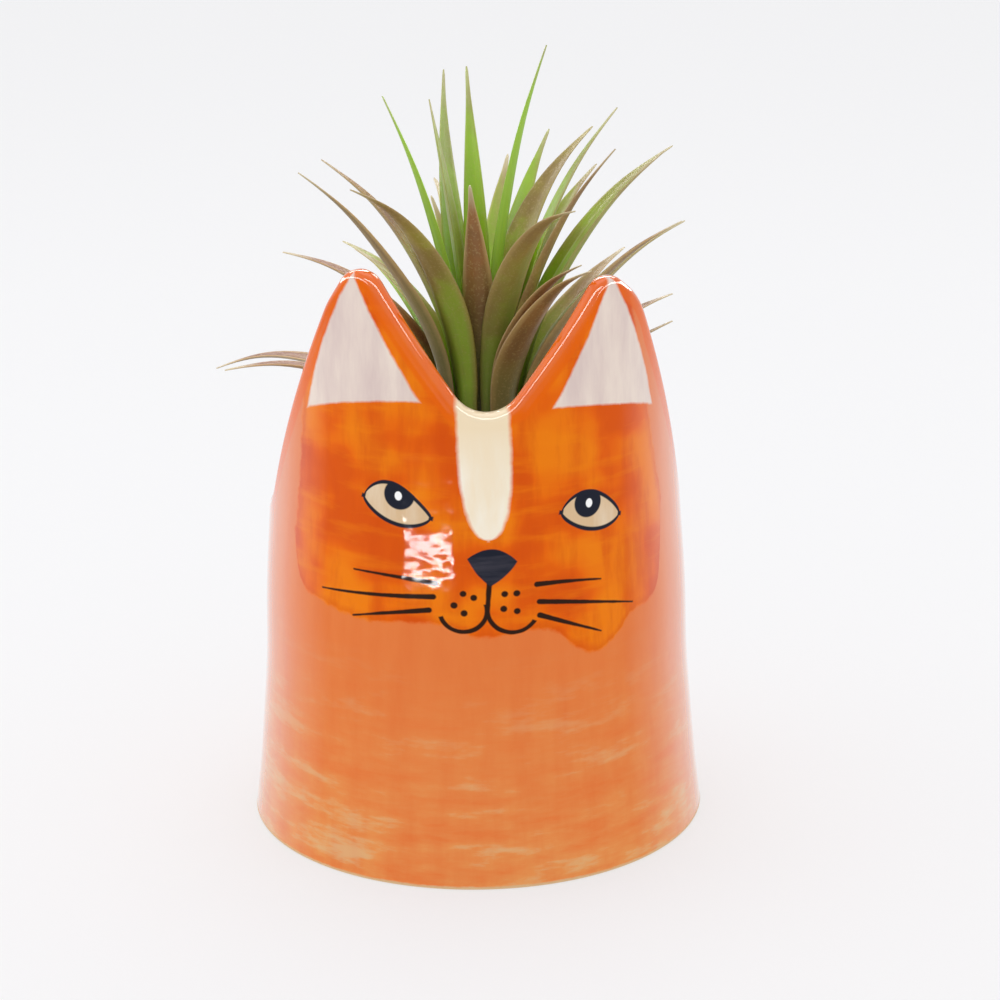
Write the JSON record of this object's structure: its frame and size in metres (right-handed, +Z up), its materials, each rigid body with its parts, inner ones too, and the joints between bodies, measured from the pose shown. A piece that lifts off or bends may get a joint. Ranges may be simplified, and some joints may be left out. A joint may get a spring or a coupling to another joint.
{
  "type": "animal shaped planter",
  "caption": "Ceramic planter shaped as a sitting cat's head and body, with two pointed ears in its rim and a lift-out artificial succulent in a grower's pot.",
  "frame": {"origin": "centre of the foot ring, on the surface that the planter stands on", "axes": "+Z up, the cat faces -Y, its right ear is on the -X side"},
  "size_m": [0.1273, 0.1316, 0.2057],
  "materials": {
    "glaze": "glossy clear glaze over hand-painted orange underglaze",
    "liner_plastic": "black moulded plastic",
    "foam": "green flower foam",
    "soil": "dark crumbed cover",
    "stem_plastic": "moulded green plastic",
    "leaf_brown": "soft moulded leaf, printed brown and red",
    "leaf_olive": "soft moulded leaf, printed olive",
    "leaf_green": "soft moulded leaf, printed bright green"
  },
  "bodies": {
    "planter": {"ceramic_pot": "glaze"},
    "plant": {"liner_pot": "liner_plastic", "foam_block": "foam", "soil_cover": "soil", "leaf_stem": "stem_plastic", "leaf_outer_01": "leaf_brown", "leaf_outer_02": "leaf_brown", "leaf_outer_03": "leaf_brown", "leaf_outer_04": "leaf_olive", "leaf_outer_05": "leaf_olive", "leaf_outer_06": "leaf_brown", "leaf_outer_07": "leaf_brown", "leaf_outer_08": "leaf_olive", "leaf_outer_09": "leaf_olive", "leaf_outer_10": "leaf_olive", "leaf_low_01": "leaf_olive", "leaf_low_02": "leaf_brown", "leaf_low_03": "leaf_olive", "leaf_low_04": "leaf_olive", "leaf_low_05": "leaf_green", "leaf_low_06": "leaf_olive", "leaf_skirt_01": "leaf_olive", "leaf_skirt_02": "leaf_olive", "leaf_skirt_03": "leaf_olive", "leaf_skirt_04": "leaf_green", "leaf_skirt_05": "leaf_olive", "leaf_middle_01": "leaf_olive", "leaf_middle_02": "leaf_olive", "leaf_middle_03": "leaf_olive", "leaf_middle_04": "leaf_olive", "leaf_middle_05": "leaf_olive", "leaf_middle_06": "leaf_olive", "leaf_inner_01": "leaf_olive", "leaf_inner_02": "leaf_olive", "leaf_inner_03": "leaf_olive", "leaf_inner_04": "leaf_green", "leaf_inner_05": "leaf_olive", "leaf_inner_06": "leaf_green", "leaf_upper_01": "leaf_brown", "leaf_upper_02": "leaf_olive", "leaf_upper_03": "leaf_green", "leaf_upper_04": "leaf_green", "leaf_heart_01": "leaf_olive", "leaf_heart_02": "leaf_green", "leaf_heart_03": "leaf_olive"}
  },
  "joints": [
    {"name": "plant_lift", "type": "slide", "parent": "planter", "child": "plant", "axis": [0, 0, 1], "range_m": [0, 0.155]}
  ]
}
